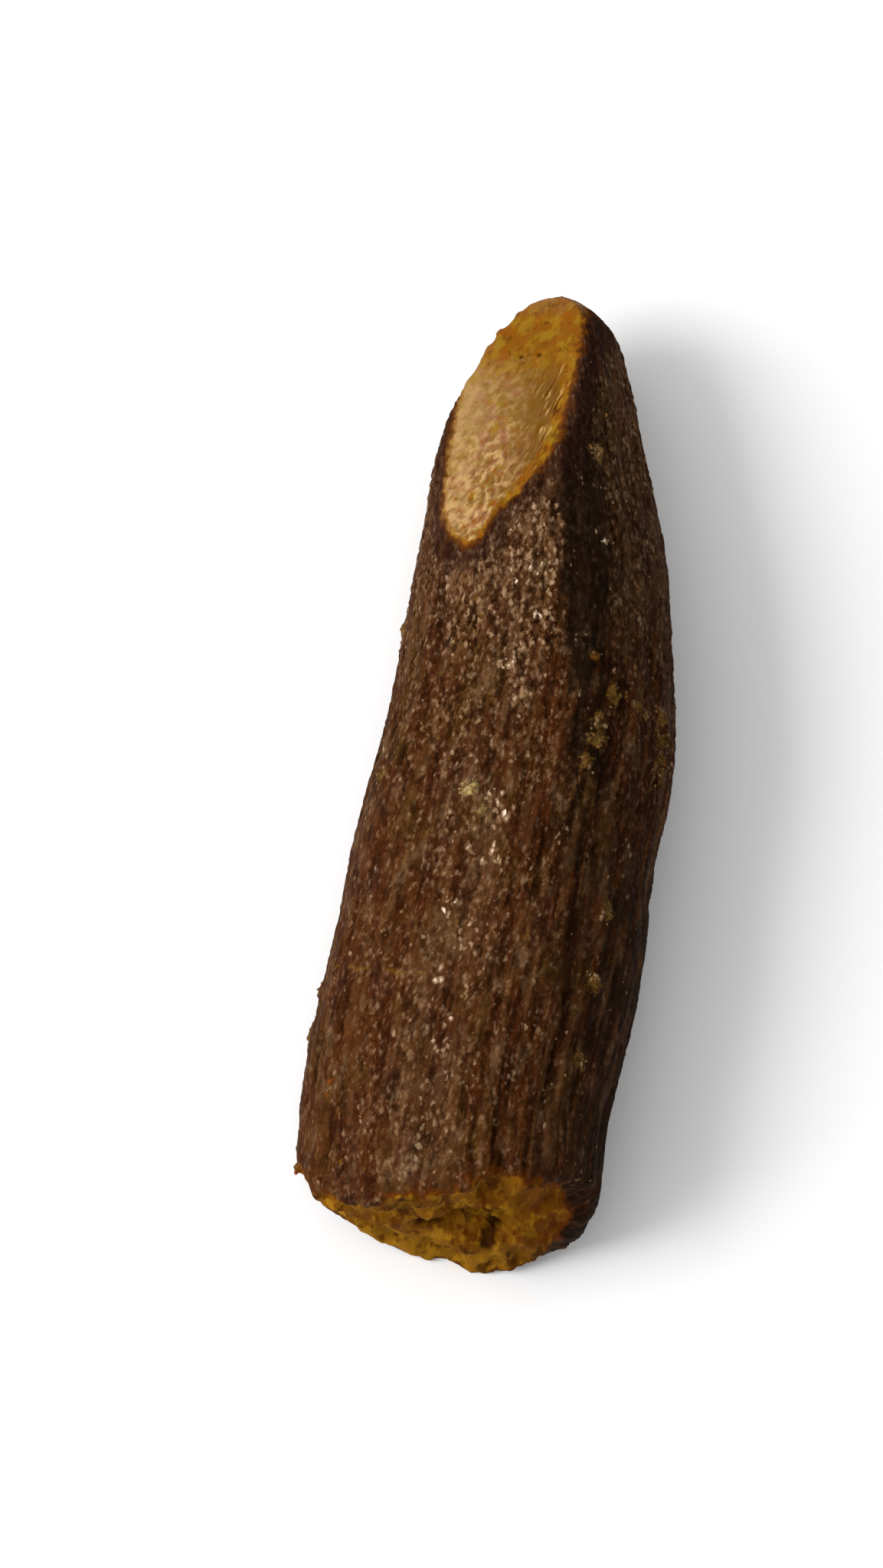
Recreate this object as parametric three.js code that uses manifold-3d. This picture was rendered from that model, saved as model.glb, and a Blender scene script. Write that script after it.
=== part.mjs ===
// A fossil tooth of a plant-eating sauropod dinosaur: a peg-shaped crown, broken off at the root.
//
// The tooth grew as one piece and is one solid. It runs along +Y, from the broken root end to the
// worn tip, and bends gently towards -X at both ends. It lies at z = 0 on the flattened underside
// of its crown. A blunt edge, the carina, runs up the crown to the tip on top and a weaker one
// below. Chewing wore a long slanting facet through the tip, whose thin edge has chipped. The root
// end is a crumbly break with a shallow hollow where the pulp was. Grains of the sandstone that
// the tooth was buried in still stick to it. Sizes are in millimetres and angles in degrees. The
// origin is under the middle of the tooth, on the surface that it lies on.

import * as THREE from "three";
import { ImprovedNoise } from "three/addons/math/ImprovedNoise.js";
import { mergeVertices } from "three/addons/utils/BufferGeometryUtils.js";
import Module from "manifold-3d";

// ---- Sizes of the crown --------------------------------------------------------------------

// Cross-sections from below the root break to the apex, with `along` measured from the break.
// Each row: along, centre x, half width, height of the widest level, rise above it, drop below.
const SECTIONS = [
  [-3.0, -0.5, 5.15, 4.45, 4.35, 4.6],
  [0.0, -0.35, 5.25, 4.5, 4.4, 4.7],
  [3.0, -0.47, 5.3, 4.55, 4.5, 4.8],
  [7.0, -0.12, 5.4, 4.6, 4.65, 4.85],
  [12.0, 0.15, 5.27, 4.6, 4.75, 4.85],
  [16.0, 0.46, 5.14, 4.6, 4.7, 4.8],
  [20.0, 0.55, 4.78, 4.5, 4.5, 4.6],
  [24.0, 0.22, 4.32, 4.35, 4.0, 4.1],
  [28.0, -0.17, 3.62, 4.15, 3.35, 3.2],
  [31.0, -0.3, 2.68, 4.05, 2.65, 2.3],
  [33.0, -0.3, 1.75, 3.9, 1.75, 1.35],
  [34.2, -0.25, 0.0, 3.85, 0.0, 0.0],
];
const ROOT_END = SECTIONS[0][0];
const APEX = SECTIONS.at(-1)[0];
const SIZES_PER_SECTION = SECTIONS[0].length - 1;

const AROUND = 76; // mesh steps round the crown
const ROWS = 48; // mesh steps along it
const APEX_CROWDING = 1.3; // above 1, the rows crowd together towards the apex

// The two cutting edges: where each stands on the section, how far it stands out as a share of
// the radius, its half width in degrees, and the stretch over which it grows to that.
const CARINAE = [
  { angle: 77, rise: 0.15, spread: 20, starts: 14, full: 26 },
  { angle: 255, rise: 0.08, spread: 22, starts: 19, full: 29 },
];
const CREST_ROUNDING = 2.5;

// Low flutes along the crown: how many round the section, their depth, and their drift along it.
const FLUTES = [
  { count: 9, depth: 0.035, drift: 0.11, phase: 0.4 },
  { count: 16, depth: 0.03, drift: -0.17, phase: 2.1 },
  { count: 25, depth: 0.03, drift: 0.13, phase: 4.4 },
];
const FLUTE_BEND = { height: 0.5, length: 3 }; // side to side, so that no flute runs straight
const FLUTE_FADE = 3; // half width of the crown below which the flutes fade out
const SWELL = { depth: 0.05, length: 7.5 }; // slow swelling and pinching along the crown

// ---- Sizes of the wear, the break and what sticks to the tooth -----------------------------

// The worn face slopes down to the tip and down to -X. It is slightly dished and rolls over
// towards the tip. `centre` is the middle of its rim's plane.
const FACET = {
  centre: new THREE.Vector3(-1.58, 26.65, 7.0),
  slopeToTip: 22,
  slopeToSide: 34,
  halfWidth: 2.2,
  halfLength: 5.0,
  dish: 0.14,
  rollOver: 0.004,
  ripple: { height: 0.06, length: 1.3 },
};
const FACET_BLOCK = { across: 13, along: 22, deep: 9, cellsAcross: 22, cellsAlong: 36 };

// Bites out of the thin edge of the worn face: centre and radius.
const CHIPS = [
  { at: new THREE.Vector3(-2.8, 32.15, 3.9), radius: 0.5 },
  { at: new THREE.Vector3(-2.25, 32.95, 3.8), radius: 0.5 },
  { at: new THREE.Vector3(-1.45, 33.7, 3.7), radius: 0.5 },
];

// The broken end stands roughly square to the crown. It is twisted, so that it overhangs at -X
// and leans back at +X, and its corners are rounded off.
const BREAK = {
  along: -0.55,
  level: 4.5,
  halfWidth: 5.25,
  skew: 0.09,
  bow: 0.03,
  lean: 0.05,
  twist: 0.05,
  cornerRounding: 1.0,
  crumbs: [
    { height: 0.35, length: 1.9 },
    { height: 0.3, length: 0.9 },
  ],
};
const BREAK_BLOCK = { across: 13, deep: 6, high: 12, cellsAcross: 32, cellsUp: 28 };

// The pulp hollow in the break, and the two thin ribs of sandstone that cross it.
const HOLLOW = { x: 0.85, z: 4.9, halfWidth: 1.9, halfHeight: 2.1, depth: 1.0, floor: 0.45 };
const RIBS = [
  { x: 0.42, halfWidth: 0.3, height: 0.75 },
  { x: 1.28, halfWidth: 0.28, height: 0.7 },
];

// Grains of sandstone stuck to the crown: angle round it, distance along it, and radius.
const GRAINS = [
  [180, 20.6, 0.2],
  [181, 7.2, 0.18],
  [182, 5.6, 0.32],
  [184, 1.0, 0.32],
  [112, 13.6, 0.3],
  [58, 16.1, 0.34],
  [63, 15.2, 0.28],
  [46, 10.3, 0.36],
  [48, 7.4, 0.26],
  [61, 25.8, 0.28],
  [228, 9.0, 0.34],
  [305, 17.5, 0.3],
  [334, 12.0, 0.28],
  [150, 2.6, 0.26],
];
const GRAIN_SINK = 0.35; // share of its radius that a grain is sunk into the crown
const LUMP_SHAPE = new THREE.Vector3(1.15, 0.95, 0.85); // stretch of a grain or a chip

const TOOTH_BROWN = 0x4a2f1d;

// ---- Shared geometry steps -----------------------------------------------------------------

const wasm = await Module();
wasm.setup();

const { clamp, degToRad, euclideanModulo, radToDeg, smoothstep } = THREE.MathUtils;
const perlin = new ImprovedNoise();

// A closed geometry with only its positions, and its shared vertices merged.
function closed(geometry) {
  geometry.deleteAttribute("normal");
  geometry.deleteAttribute("uv");
  return mergeVertices(geometry, 1e-4);
}

// Moves each vertex of a geometry to where `place` puts it.
function reshape(geometry, place) {
  const position = geometry.getAttribute("position");
  const point = new THREE.Vector3();
  for (let i = 0; i < position.count; i += 1) {
    const moved = place(point.fromBufferAttribute(position, i));
    position.setXYZ(i, moved.x, moved.y, moved.z);
  }
  return geometry;
}

function toSolid(geometry) {
  return new wasm.Manifold(
    new wasm.Mesh({
      numProp: 3,
      vertProperties: geometry.getAttribute("position").array,
      triVerts: new Uint32Array(geometry.index.array),
    }),
  );
}

function toGeometry(solid) {
  const { vertProperties, triVerts } = solid.getMesh();
  const geometry = new THREE.BufferGeometry();
  geometry.setAttribute("position", new THREE.BufferAttribute(vertProperties, 3));
  geometry.setIndex(new THREE.BufferAttribute(triVerts, 1));
  return geometry;
}

// ---- Crown ---------------------------------------------------------------------------------

const sectionAt = new THREE.CubicInterpolant(
  new Float32Array(SECTIONS.map((row) => row[0])),
  new Float32Array(SECTIONS.flatMap((row) => row.slice(1))),
  SIZES_PER_SECTION,
);

// The angle from b to a, from -180 to 180.
function turn(a, b) {
  return euclideanModulo(a - b + 180, 360) - 180;
}

// How much a carina swells the radius at this angle and distance along.
function carinaSwell(carina, angle, along) {
  const offset = Math.hypot(turn(angle, carina.angle), CREST_ROUNDING);
  const growth = smoothstep(along, carina.starts, carina.full);
  return carina.rise * growth * Math.exp(-offset / carina.spread);
}

// How far the flutes and the slow swell lift the surface.
function fluting(angle, along) {
  const swell = SWELL.depth * Math.sin((2 * Math.PI * along) / SWELL.length + degToRad(angle));
  return FLUTES.reduce((sum, flute) => {
    const bend = FLUTE_BEND.height * Math.sin(along / FLUTE_BEND.length + flute.count);
    const phase = flute.drift * along + flute.phase + bend;
    return sum + flute.depth * Math.cos(flute.count * degToRad(angle) + phase);
  }, swell);
}

// The point on the crown's surface at an angle round it, where 0 is +X and 90 is up.
function crownPoint(angle, along) {
  const [centreX, halfWidth, level, rise, drop] = sectionAt.evaluate(along);
  const upward = Math.sin(degToRad(angle));
  const height = upward > 0 ? rise : drop;
  const swell = CARINAE.reduce((sum, carina) => sum + carinaSwell(carina, angle, along), 1);
  const relief = fluting(angle, along) * smoothstep(halfWidth, 0, FLUTE_FADE);
  const x = centreX + (halfWidth * swell + relief) * Math.cos(degToRad(angle));
  const z = level + (height * swell + relief) * upward;
  return new THREE.Vector3(x, along, Math.max(z, 0));
}

// The middle of the crown's section at a distance along it.
function crownCentre(along) {
  const [centreX, , level] = sectionAt.evaluate(along);
  return new THREE.Vector3(centreX, along, level);
}

// The unworn crown: a ball whose poles are the crown's two ends, drawn out to the sections.
function crown() {
  const ball = closed(new THREE.SphereGeometry(1, AROUND, ROWS));
  reshape(ball, (point) => {
    const share = Math.acos(clamp(point.y, -1, 1)) / Math.PI;
    const along = APEX + (ROOT_END - APEX) * share ** APEX_CROWDING;
    if (Math.hypot(point.x, point.z) < 1e-4) {
      return crownCentre(along);
    }
    return crownPoint(radToDeg(Math.atan2(point.z, point.x)), along);
  });
  return toSolid(ball);
}

// ---- Wear facet ----------------------------------------------------------------------------

// How far the worn face lies above its rim's plane.
function facetHeight(across, along) {
  const { ripple } = FACET;
  const reach = Math.hypot(across / FACET.halfWidth, along / FACET.halfLength);
  const dish = FACET.dish * (1 - Math.min(1, reach) ** 2);
  const roll = FACET.rollOver * Math.max(0, along) ** 2;
  return ripple.height * perlin.noise(across / ripple.length, along / ripple.length, 0.5) - dish - roll;
}

// A block whose underside is the worn face.
function facetCutter() {
  const { across, along, deep, cellsAcross, cellsAlong } = FACET_BLOCK;
  const block = closed(new THREE.BoxGeometry(across, along, deep, cellsAcross, cellsAlong, 1));
  reshape(block, (point) => point.setZ(point.z > 0 ? deep : facetHeight(point.x, point.y)));
  const sideways = new THREE.Vector3(1, 0, Math.tan(degToRad(FACET.slopeToSide))).normalize();
  const tipward = new THREE.Vector3(0, 1, -Math.tan(degToRad(FACET.slopeToTip)));
  const normal = new THREE.Vector3().crossVectors(sideways, tipward).normalize();
  tipward.crossVectors(normal, sideways);
  const placed = new THREE.Matrix4().makeBasis(sideways, tipward, normal);
  return toSolid(block.applyMatrix4(placed.setPosition(FACET.centre)));
}

// ---- Root break ----------------------------------------------------------------------------

// How deep the pulp hollow is here. The ribs fill it partly.
function hollowDepth(x, z) {
  const reach = Math.hypot((x - HOLLOW.x) / HOLLOW.halfWidth, (z - HOLLOW.z) / HOLLOW.halfHeight);
  const open = 1 - smoothstep(reach, HOLLOW.floor, 1);
  const filled = RIBS.reduce(
    (sum, rib) => sum + rib.height * Math.exp(-(((x - rib.x) / rib.halfWidth) ** 2)),
    0,
  );
  return open * Math.max(0, HOLLOW.depth - filled);
}

// How far along the crown the broken face lies at x and z.
function breakAlong(x, z) {
  const leaning = (BREAK.lean + BREAK.twist * x) * (z - BREAK.level);
  const corner = BREAK.cornerRounding * (x / BREAK.halfWidth) ** 8;
  const face = BREAK.along + BREAK.skew * x + BREAK.bow * x ** 2 + leaning + corner;
  return BREAK.crumbs.reduce(
    (sum, crumb) => sum + crumb.height * perlin.noise(x / crumb.length, 7.3, z / crumb.length),
    face + hollowDepth(x, z),
  );
}

// A block whose tipward side is the broken face.
function breakCutter() {
  const { across, deep, high, cellsAcross, cellsUp } = BREAK_BLOCK;
  const block = closed(new THREE.BoxGeometry(across, deep, high, cellsAcross, 1, cellsUp));
  block.translate(0, 0, BREAK.level);
  reshape(block, (point) => point.setY(point.y > 0 ? breakAlong(point.x, point.z) : -deep));
  return toSolid(block);
}

// ---- Chips and grains ----------------------------------------------------------------------

// A rough angular lump, turned by its number so that no two look alike.
function lump(at, radius, number) {
  const shape = closed(new THREE.IcosahedronGeometry(radius, 0));
  shape.scale(...LUMP_SHAPE).rotateX(number).rotateY(2 * number).rotateZ(3 * number);
  return toSolid(shape.translate(...at));
}

function chips() {
  return wasm.Manifold.union(CHIPS.map(({ at, radius }, i) => lump(at, radius, i + 1)));
}

function grains() {
  const lumps = GRAINS.map(([angle, along, radius], i) => {
    const surface = crownPoint(angle, along);
    const inward = crownCentre(along).sub(surface).setLength(GRAIN_SINK * radius);
    return lump(surface.add(inward), radius, i + 1);
  });
  return wasm.Manifold.union(lumps);
}

// ---- The tooth -----------------------------------------------------------------------------

const worn = crown().subtract(facetCutter()).subtract(breakCutter()).subtract(chips());

const tooth = new THREE.Mesh(
  toGeometry(worn.add(grains())),
  new THREE.MeshStandardMaterial({ color: TOOTH_BROWN, roughness: 0.45, metalness: 0 }),
);
tooth.name = "tooth";

// Sets the origin under the middle of the tooth.
tooth.geometry.computeBoundingBox();
const middle = tooth.geometry.boundingBox.getCenter(new THREE.Vector3());
tooth.position.set(-middle.x, -middle.y, 0);

const group = new THREE.Group();
group.add(tooth);

export default group;
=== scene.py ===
import math
import random

import bmesh
import bpy
import numpy as np
from mathutils import Matrix, Vector, noise
from mathutils.bvhtree import BVHTree
from mathutils.kdtree import KDTree


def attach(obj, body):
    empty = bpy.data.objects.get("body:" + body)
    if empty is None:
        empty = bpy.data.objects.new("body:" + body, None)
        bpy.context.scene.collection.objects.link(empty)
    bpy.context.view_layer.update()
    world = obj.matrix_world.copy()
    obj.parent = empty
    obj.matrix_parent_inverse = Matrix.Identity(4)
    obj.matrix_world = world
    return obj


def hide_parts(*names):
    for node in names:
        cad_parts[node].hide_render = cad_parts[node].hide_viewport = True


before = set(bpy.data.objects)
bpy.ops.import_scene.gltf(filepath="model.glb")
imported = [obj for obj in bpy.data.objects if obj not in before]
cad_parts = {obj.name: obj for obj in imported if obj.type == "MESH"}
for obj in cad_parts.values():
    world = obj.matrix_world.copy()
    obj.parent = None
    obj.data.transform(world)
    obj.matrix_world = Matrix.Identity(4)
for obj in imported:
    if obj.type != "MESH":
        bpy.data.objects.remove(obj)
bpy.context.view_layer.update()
MM = 0.001
scene = bpy.context.scene

# --- Camera -----------------------------------------------------------------------------------
# A long lens looks steeply down on the tooth from beyond its root end, a little from the right.

CAMERA_AZIMUTH = math.radians(7)
CAMERA_ELEVATION = math.radians(73)
CAMERA_DISTANCE = 260 * MM
CAMERA_LENS = 170.5  # millimetres of focal length, on a sensor 36 mm along the picture's long side
LOOKED_AT = Vector((-2.22, -1.31, 4.5)) * MM

away = Vector((
    math.sin(CAMERA_AZIMUTH) * math.cos(CAMERA_ELEVATION),
    -math.cos(CAMERA_AZIMUTH) * math.cos(CAMERA_ELEVATION),
    math.sin(CAMERA_ELEVATION),
))
camera = bpy.data.objects.new("camera", bpy.data.cameras.new("camera"))
camera.data.lens = CAMERA_LENS
camera.data.sensor_width = 36
camera.data.clip_start = 10 * MM
camera.location = LOOKED_AT + away * CAMERA_DISTANCE
camera.rotation_euler = away.to_track_quat("Z", "Y").to_euler()
scene.collection.objects.link(camera)
scene.camera = camera

# --- Table and light --------------------------------------------------------------------------
# The tooth lies on a matt white table. A soft lamp stands low to its left, a little towards the
# root, and a wide panel overhead fills the shadow that the lamp throws to the right.

TABLE_SIZE = 600 * MM
LIGHTS = {  # elevation, bearing from straight left towards the root, distance, size and power
    "lamp": (42, 15, 400 * MM, 220 * MM, 1.5),
    "panel": (80, 10, 500 * MM, 900 * MM, 3.1),
}
WALL_LIGHT = 0.15


def linear(hex_colour):
    """An sRGB hex value as the linear red, green, blue and alpha that a shader takes."""
    channels = [(hex_colour >> shift & 255) / 255 for shift in (16, 8, 0)]
    return [c / 12.92 if c <= 0.04045 else ((c + 0.055) / 1.055) ** 2.4 for c in channels] + [1]


def add(tree, kind, inputs=None, **settings):
    """Adds a node with its settings, and links or fills its inputs, which are named or numbered."""
    new = tree.nodes.new(kind)
    for name, value in settings.items():
        setattr(new, name, value)
    for key, value in (inputs or {}).items():
        if isinstance(value, bpy.types.NodeSocket):
            tree.links.new(value, new.inputs[key])
        else:
            new.inputs[key].default_value = value
    return new


table_mesh = bpy.data.meshes.new("table")
shape = bmesh.new()
bmesh.ops.create_grid(shape, x_segments=1, y_segments=1, size=TABLE_SIZE / 2)
shape.to_mesh(table_mesh)
shape.free()
table = bpy.data.objects.new("table", table_mesh)
scene.collection.objects.link(table)
white_paint = bpy.data.materials.new("matt_white_paint")
white_paint.use_nodes = True
paint = white_paint.node_tree.nodes["Principled BSDF"]
paint.inputs["Base Color"].default_value = linear(0xF1F1F1)
paint.inputs["Roughness"].default_value = 0.9
paint.inputs["Specular IOR Level"].default_value = 0.1
table_mesh.materials.append(white_paint)

for name, (elevation, bearing, distance, size, power) in LIGHTS.items():
    light = bpy.data.objects.new(name, bpy.data.lights.new(name, "AREA"))
    light.data.size = size
    light.data.energy = power
    level = math.cos(math.radians(elevation))
    towards = Vector((
        -math.cos(math.radians(bearing)) * level,
        -math.sin(math.radians(bearing)) * level,
        math.sin(math.radians(elevation)),
    ))
    light.location = towards * distance
    light.rotation_euler = towards.to_track_quat("Z", "Y").to_euler()
    scene.collection.objects.link(light)

walls = bpy.data.worlds.new("white_walls")
walls.use_nodes = True
walls.node_tree.nodes["Background"].inputs["Color"].default_value = linear(0xFFFFFF)
walls.node_tree.nodes["Background"].inputs["Strength"].default_value = WALL_LIGHT
scene.world = walls
scene.view_settings.view_transform = "Standard"

# --- The tooth's form -------------------------------------------------------------------------
# Crown, worn facet and broken root are one grown and mineralised piece. Its skin is a ball of fine
# rings and columns, every point of which is pushed out from the tooth's middle line until it meets
# the solid, so that the columns run along the tooth as the wrinkles of its enamel do.

RINGS = 300
UPPER_COLUMNS = 200  # columns on the upper half, which carries the wear facet
UNDER_COLUMNS = 130
STATIONS = 34  # places along the tooth at which the middle of its section is found
STATION_ENDS = (1.0, 0.6)  # how far from the root's end the first is, and from the tip the last
SLAB = 0.7  # millimetres either side of a station whose points give the section's middle
MIDDLE_DEGREE = 5  # of the curves that the middle line follows
ROOT_CORE = 3.2  # how far inside each end the middle line stops and the rays fan out
TIP_CORE = 1.6
FINE_STEPS = 600  # the rings are spaced evenly by steps this fine, measured on a few columns
FEW_COLUMNS = 12
GRAIN_RADIUS = 5.0  # radius at which the grain coordinates run round the tooth

solid = bmesh.new()
solid.from_mesh(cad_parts["tooth"].data)
bmesh.ops.scale(solid, vec=Vector((1, 1, 1)) / MM, verts=solid.verts)
bmesh.ops.remove_doubles(solid, verts=solid.verts, dist=1e-4)
solid.faces.ensure_lookup_table()
solid.normal_update()
solid_tree = BVHTree.FromBMesh(solid)
corners = np.array([v.co for v in solid.verts])
root_y = corners[:, 1].min()
tip_y = corners[:, 1].max()

stations = np.linspace(root_y + STATION_ENDS[0], tip_y - STATION_ENDS[1], STATIONS)
slabs = [corners[abs(corners[:, 1] - y) < SLAB] for y in stations]
middles = np.array([(slab.min(0) + slab.max(0)) / 2 for slab in slabs])
middle_x = np.polynomial.Polynomial.fit(stations, middles[:, 0], MIDDLE_DEGREE)
middle_z = np.polynomial.Polynomial.fit(stations, middles[:, 2], MIDDLE_DEGREE)


def ring_start(t):
    """The point of the middle line that a ring's rays leave from, and their angle to the tip.

    t runs from 0 at the root's pole to 3 at the tip's. The rays fan out below 1 and above 2.
    """
    share = min(max(t - 1, 0), 1)
    y = root_y + ROOT_CORE + share * (tip_y - TIP_CORE - root_y - ROOT_CORE)
    polar = math.pi * (1 - 0.5 * min(t, 1) - 0.5 * max(t - 2, 0))
    return Vector((middle_x(y), y, middle_z(y))), polar


def cast(tree, start, polar, turn):
    """Where a ray from the middle line meets a surface, its normal there and the face's number."""
    across = math.sin(polar)
    way = Vector((across * math.cos(turn), math.cos(polar), across * math.sin(turn)))
    return tree.ray_cast(start, way)[:3]


# Spaces the rings evenly over the surface, by the mean length of the steps between fine ones.
fine = np.linspace(0, 3, FINE_STEPS)
few_turns = np.linspace(0, 2 * math.pi, FEW_COLUMNS, endpoint=False)
met = np.array([[cast(solid_tree, *ring_start(t), turn)[0] for turn in few_turns] for t in fine])
steps = np.linalg.norm(np.diff(met, axis=0), axis=2).mean(1)
travelled = np.concatenate([[0], np.cumsum(steps)]) / steps.sum()
ring_ts = np.interp(np.linspace(0, 1, RINGS + 1), travelled, fine)

COLUMNS = UPPER_COLUMNS + UNDER_COLUMNS
turns = np.concatenate([
    np.linspace(0, math.pi, UPPER_COLUMNS, endpoint=False),
    np.linspace(math.pi, 2 * math.pi, UNDER_COLUMNS, endpoint=False),
])
skin = np.zeros((RINGS + 1, COLUMNS, 3))
normals = np.zeros((RINGS + 1, COLUMNS, 3))
met_face = np.zeros((RINGS + 1, COLUMNS), int)
for i, t in enumerate(ring_ts):
    start, polar = ring_start(t)
    for j, turn in enumerate(turns):
        skin[i, j], normals[i, j], met_face[i, j] = cast(solid_tree, start, polar, turn)

# Distance along the tooth is y, and is measured on over the skin where the rays fan out.
fanned = ((ring_ts < 1) | (ring_ts > 2))[1:, None]
lengths = np.linalg.norm(np.diff(skin, axis=0), axis=2)
along = np.cumsum(np.where(fanned, lengths, np.diff(skin[:, :, 1], axis=0)), axis=0)
along = np.concatenate([np.zeros((1, COLUMNS)), along])
along += (skin[:, :, 1] - along)[RINGS // 2]

flat_skin = skin.reshape(-1, 3)
grain = np.stack([
    GRAIN_RADIUS * np.cos(np.broadcast_to(turns, met_face.shape)),
    GRAIN_RADIUS * np.sin(np.broadcast_to(turns, met_face.shape)),
    along,
], axis=2).reshape(-1, 3)
turn_of = np.degrees(np.broadcast_to(turns, met_face.shape)).ravel()
turn_of = np.where(turn_of > 270, turn_of - 360, turn_of)
y_of = grain[:, 2]

fossil = bpy.data.materials.new("fossil_enamel_and_dentine")
fossil.use_nodes = True
tree = fossil.node_tree
surface = tree.nodes["Principled BSDF"]
object_place = {0: add(tree, "ShaderNodeTexCoord").outputs["Object"], "Scale": 1 / MM}
places = {  # where the patterns lie: along the grain of the enamel, or in the tooth's millimetres
    "grain": add(tree, "ShaderNodeAttribute", attribute_name="grain").outputs["Vector"],
    "tooth": add(tree, "ShaderNodeVectorMath", object_place, operation="SCALE").outputs["Vector"],
}
values = {}  # what places the colours on the skin: patterns, and values kept at its points
kept_at_points = {"grain": grain}

# --- Wrinkled enamel --------------------------------------------------------------------------
# The crown's enamel grew in fine beaded wrinkles along the tooth. Iron-rich sand turned it to dark
# red-brown phosphate: hard and glassy on the crests, which glint, and dull in the grooves, where iron
# oxide and olive dust lie. Past the crown's ridge, on its right, it is smoother, and painted shade
# makes it nearly black. Its palest specks and brightest glints are partly painted highlights, and a
# painted sheen lightens a stretch along its top.

# The finest wrinkles of such enamel are closer than the skin's points. These are as coarse as they
# need to be to show. Sizes run round the tooth, through it and along it, in millimetres.
BEAD = (0.24, 0.24, 0.42)
BEAD_HEIGHT = 0.08
BEAD_SLOPE = 0.4  # share of a bead over which it slopes down to the groove round it
BEAD_LEVEL = 0.6  # share of a bead's height that keeps the skin's own level
WRINKLE = (0.34, 0.34, 2.4)
WRINKLE_HEIGHT = 0.085
WRINKLE_SHARPNESS = 2.4
WRINKLE_LEVEL = 0.4
LEFT_WRINKLES = 0.45  # their strength on the left side, where they are weaker
MIDDLE_BAND = (-1.5, 1.5)  # x over which they reach their full strength
RIB = (0.9, 0.9, 9.0)
RIB_HEIGHT = 0.09
CRINKLE = 0.17  # how far the wrinkles wander sideways, and over what length
CRINKLE_LENGTH = 1.1
PIT = (0.4, 0.4, 0.8)
PIT_DEPTH = 0.04
PIT_EDGE = (0.3, 0.6)  # values of the noise at which a pit starts and is full
CREST_BEADS = 0.5  # what each adds to the crests that the colours go by
CREST_WRINKLES = 0.35
CREST_PITS = 0.35
CREST_BASE = 0.15
SMOOTH_BLACK = 0.6  # share of the beads and wrinkles that is gone on the side with painted shade
SMOOTH_FLANK = 0.3  # share of the beads that is gone on the rest of the right flank
TIP_POLE = (2.97, 2.8)  # ring places between which the relief comes in, next to the tip's pole
RIDGE_LINE = [  # distance along the tooth and the turn in degrees that the crown's ridge has there
    (-17.7, 80), (-14.6, 79), (-9.3, 79), (-6.6, 80), (-4.0, 80), (-1.4, 80), (1.2, 81), (4.0, 82),
    (6.8, 84), (9.8, 84), (12.4, 74), (14.8, 65), (17.7, 60),
]
RIDGE_HEIGHT = 0.3
RIDGE_SIDES = (2.2, 0.9)  # how far its left and right slopes run
RIDGE_WAVER = 0.12
SHEEN_TURN = 102  # the turn along which a painted sheen lightens the crown's top
SHEEN_WIDTH = (24, 4)  # how far from it, in degrees, the painted sheen starts, and is full
PATCHY_SHEEN = 0.7
PALE_SHEEN = 0.75  # how pale the painted sheen makes that stretch, and how pale the upper crown is
PALE_UP = 0.6
PALE_UNDER_FACET = 0.4  # and how much paler a patch under the facet is
PALE_PATCH = ((98, 112), (150, 132), (3.0, 6.0))  # turns and y over which it comes in
# The painted shade past the ridge: how far its black fades in, at places along the tooth.
BLACK_BLEND = [(-10, 5.5), (-5, 3.2), (-1, 1.8), (2, 0.9), (4.5, 0.35)]
BLACK_RAGGED = (0.25, 0.2)  # how ragged its edge is, in coarse and in fine steps
BLACK_STREAK = (0.3, 0.3, 1.6)  # size of the brown streaks that break it up, and their strength
BLACK_STREAK_EDGE = (-0.1, 0.3)
BLACK_STREAKED = 0.55
FAR_STREAK = (0.5, 0.5, 2.5)  # size of the streaks that thin it out further down the flank
FAR_SIDE = (1.2, 3.4)  # how far past the ridge they start, and are strongest
FAR_WAVER = 0.6
FAR_THINNED = (0.2, 0.4)  # share that they take near the root, and how much more further up
TIP_THINNED = 0.4  # share of the painted shade that is gone at the tip
CONTRAST = (0.55, 0.4)  # of the granules' shades near the root, and how much more further up
CALM_FLANKS = (0.3, 0.2)  # share by which it is less on the left and on the right flank
CONTRAST_PATCH = (0.7, 0.7, 1.3)
PATCHINESS = 0.7  # share by which it differs from patch to patch
LINED = 0.36  # strength of the enamel's long lines
FACET_UNLINED = 0.7  # share of it that is gone beside the facet
# Where a look comes in and is full, in degrees of turn round the tooth or in its y.
LEFT_FLANK = (125, 160)
RIGHT_HALF = (100, 65)
RIGHT_FLANK = (70, 45)
OFF_UNDERSIDE = (-80, -30)
OFF_ROOT_LIP = (-16.5, -15.0)
UPPER_CROWN = (-5.0, 5.0)
RIDGE_RISE = (-0.5, 3.5)
RIDGE_END = (13.0, 9.0)
FACET_STRETCH = (7.0, 12.0)
LOWER_CROWN = (4.0, 0.0)
BLACK_THINS = (-6.0, -2.0)
BLACK_STREAKS = (5.0, 0.5)
BLACK_ENDS = (8.5, 13.0)
PALE_TOP = (0.0, 7.0)
GLINTS_START = (1.0, 5.0)
GROWTH_LINE = [(98, -9.5), (119, -9.4), (138, -9.25), (157, -8.9), (170, -8.8)]  # turn and place
GROWTH_LINE_EDGE = (0.12, 0.02)  # how far from its middle it starts, and is full
GROWTH_LINE_SPAN = (134, 36, 20)  # its middle turn, and how far from it the line ends, and is full
GROWTH_LINE_WAVER = 0.15
GROWTH_LINE_GAPS = (-0.4, 0.2)  # values of a noise at which it is gone, and whole
GLINTS = [  # turn and place of spots where painted glints, highlights of bare crests, gather
    (98, -14.4), (102, -11.8), (108, -7.1), (97, -8.5), (102, 1.8), (91, 3.8), (99, -3.0), (93, -3.4),
    (98, -7.7), (101, -15.3), (107, 7.0), (93, 5.7), (101, -4.8), (94, -5.2), (65, -4.0), (112, 6.2),
    (104, 5.0), (96, 0.3), (104, -9.6), (95, -11.0), (118, 7.6), (100, 7.9), (70, 9.2), (62, 7.0),
]
GLINT_SPREAD = 0.5
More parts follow.
